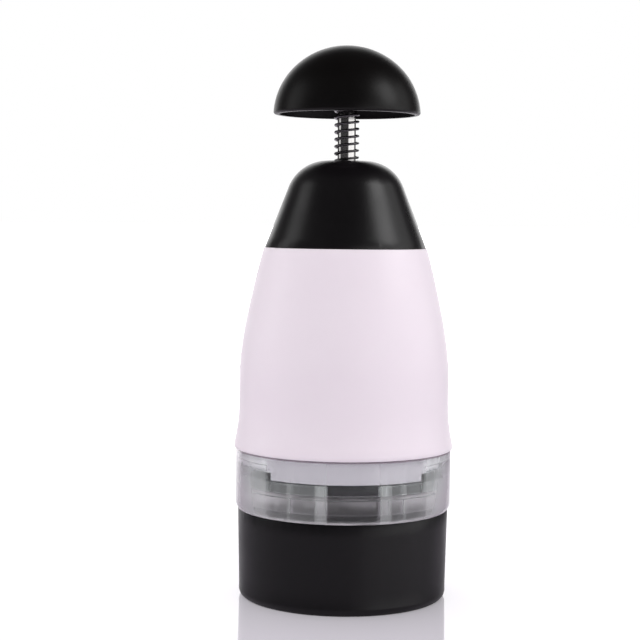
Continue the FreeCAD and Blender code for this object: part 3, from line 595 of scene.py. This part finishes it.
def lined_metal(name, colour, grain_mm, rough_low, rough_high):
    """Metal with fine lines along its height, which draw out the highlights. Real lines
    are a few hundredths of a millimetre wide, and are drawn coarser so that they show."""
    material, tree = new_material(name)
    place = add_node(tree, "TexCoord")
    stretch = add_node(tree, "Mapping", {
        "Vector": place.outputs["Object"],
        "Scale": (1.0, 1.0, line_stretch),
    })
    streak = add_node(tree, "TexNoise", {
        "Vector": stretch.outputs["Vector"],
        "Scale": 1 / (grain_mm * mm),
        "Detail": 3.0,
    })
    rough = add_node(tree, "MapRange", {
        "Value": streak.outputs["Fac"],
        "To Min": rough_low,
        "To Max": rough_high,
    })
    bump = add_node(tree, "Bump", {
        "Height": streak.outputs["Fac"],
        "Distance": line_depth_mm * mm,
        "Strength": 1.0,
    })
    metal = add_node(tree, "BsdfPrincipled", {
        "Base Color": linear(colour),
        "Metallic": 1.0,
        "Roughness": rough.outputs["Result"],
        "Normal": bump.outputs["Normal"],
    })
    add_node(tree, "OutputMaterial", {"Surface": metal.outputs["BSDF"]})
    return material


rod_steel = lined_metal("polished_stainless_rod", "cfcdcc", grain_mm=0.8,
                        rough_low=0.08, rough_high=0.2)
dress("plunger_rod", rod_steel)

# The blade. One strip of stainless steel, ground, folded to and fro and sharpened below.
# Its upper edge is held in the groove of the blade carrier.
blade_steel = lined_metal("ground_stainless_strip", "c9c8c8", grain_mm=0.6,
                          rough_low=0.16, rough_high=0.3)
dress("zigzag_blade", blade_steel)

# Clips, screws and seats. Bright spring steel, stamped or rolled: two snap rings in the
# rod's grooves, a washer at each end of the spring, and the three screws of the cap.
hardware_steel = lined_metal("bright_spring_steel", "b9b7b6", grain_mm=0.5,
                             rough_low=0.2, rough_high=0.32)
for node in ("retaining_clips", "spring_seat", "head_washer", "cap_screws"):
    dress(node, hardware_steel, edge_mm=0.08)

# Bush and insert. Turned brass. The bush is pressed into the roof and guides the rod, and
# the threaded insert is pressed into the knob's boss.
turned_brass = lined_metal("turned_brass", "c9a25a", grain_mm=0.5,
                           rough_low=0.2, rough_high=0.3)
for node in ("rod_bush", "knob_insert"):
    dress(node, turned_brass, edge_mm=0.1)

# The spring. Drawn steel wire wound in an open coil round the rod. It sits on its seat in
# the cap's well, pushes on the washer under the knob, and closes up as the knob goes down.
wire = 1.0 * mm
pitch = 2.93 * mm
low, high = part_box("return_spring")
coil_radius = (high.x - low.x) / 2 - wire / 2
foot = low.z + wire / 2
head = high.z - wire / 2
coil_turns = round((head - foot) / pitch * 2) / 2
steps_per_turn = 40
wire_sides = 12


def coil_ring(turn):
    """One ring of points round the wire, turn turns up the coil."""
    angle = 2 * math.pi * turn
    out = Vector((math.cos(angle), math.sin(angle), 0))
    along = Vector((-out.y * 2 * math.pi * coil_radius, out.x * 2 * math.pi * coil_radius,
                    (head - foot) / coil_turns)).normalized()
    over = along.cross(out)
    middle = out * coil_radius + Vector((0, 0, foot + (head - foot) * turn / coil_turns))
    return [middle + (out * math.cos(side) + over * math.sin(side)) * wire / 2
            for side in (2 * math.pi * k / wire_sides for k in range(wire_sides))]


points = []
faces = []
rings = int(coil_turns * steps_per_turn) + 1
for ring in range(rings):
    points += coil_ring(ring / steps_per_turn)
for ring in range(rings - 1):
    for side in range(wire_sides):
        a = ring * wire_sides + side
        b = ring * wire_sides + (side + 1) % wire_sides
        faces.append((a, a + wire_sides, b + wire_sides, b))
faces.append(tuple(range(wire_sides)))
faces.append(tuple(reversed(range((rings - 1) * wire_sides, rings * wire_sides))))
coil_mesh = bpy.data.meshes.new("wound_spring")
coil_mesh.from_pydata([tuple(p) for p in points], [], faces)
for face in coil_mesh.polygons:
    face.use_smooth = len(face.vertices) == 4
coil_mesh.materials.append(lined_metal("drawn_spring_wire", "6c6a6c", grain_mm=0.4,
                                       rough_low=0.18, rough_high=0.3))
wound_spring = bpy.data.objects.new("wound_spring", coil_mesh)
bpy.context.scene.collection.objects.link(wound_spring)
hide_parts("return_spring")
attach(wound_spring, "housing")
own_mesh(wound_spring)
